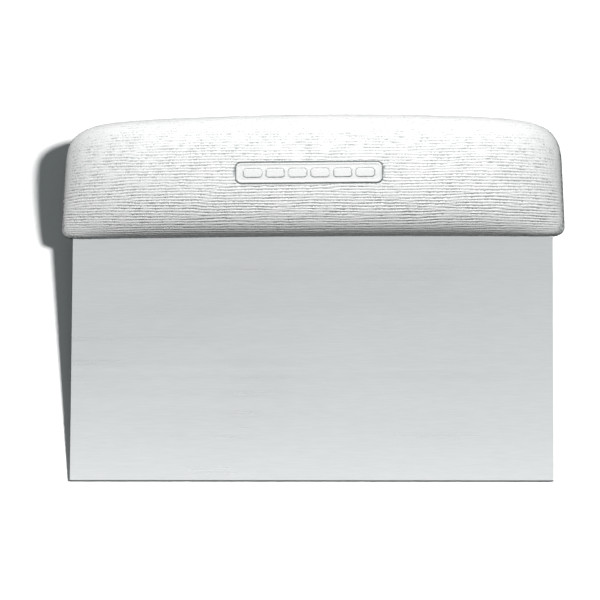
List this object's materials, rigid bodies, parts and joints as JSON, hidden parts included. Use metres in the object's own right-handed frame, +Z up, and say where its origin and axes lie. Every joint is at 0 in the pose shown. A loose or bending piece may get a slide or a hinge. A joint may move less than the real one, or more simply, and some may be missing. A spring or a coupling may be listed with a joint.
{
  "type": "bench scraper",
  "caption": "Hand scraper for dough and bench tops: a flat rectangular stainless blade moulded into a full-width ribbed plastic grip, lying on its back.",
  "frame": {"origin": "middle of the footprint, on the table that the tool lies on", "axes": "+X along the blade's width, +Y from the scraping edge to the handle, +Z up; the blade rises 6 degrees towards the handle, because the tool rests on its edge and on the back of its handle"},
  "size_m": [0.16, 0.1158, 0.0223],
  "materials": {
    "blade_steel": "satin, fine brushing along the width",
    "handle_plastic": "white polypropylene with fine moulded ridges along the width"
  },
  "bodies": {
    "root": {"blade": "blade_steel", "handle": "handle_plastic"}
  },
  "joints": []
}
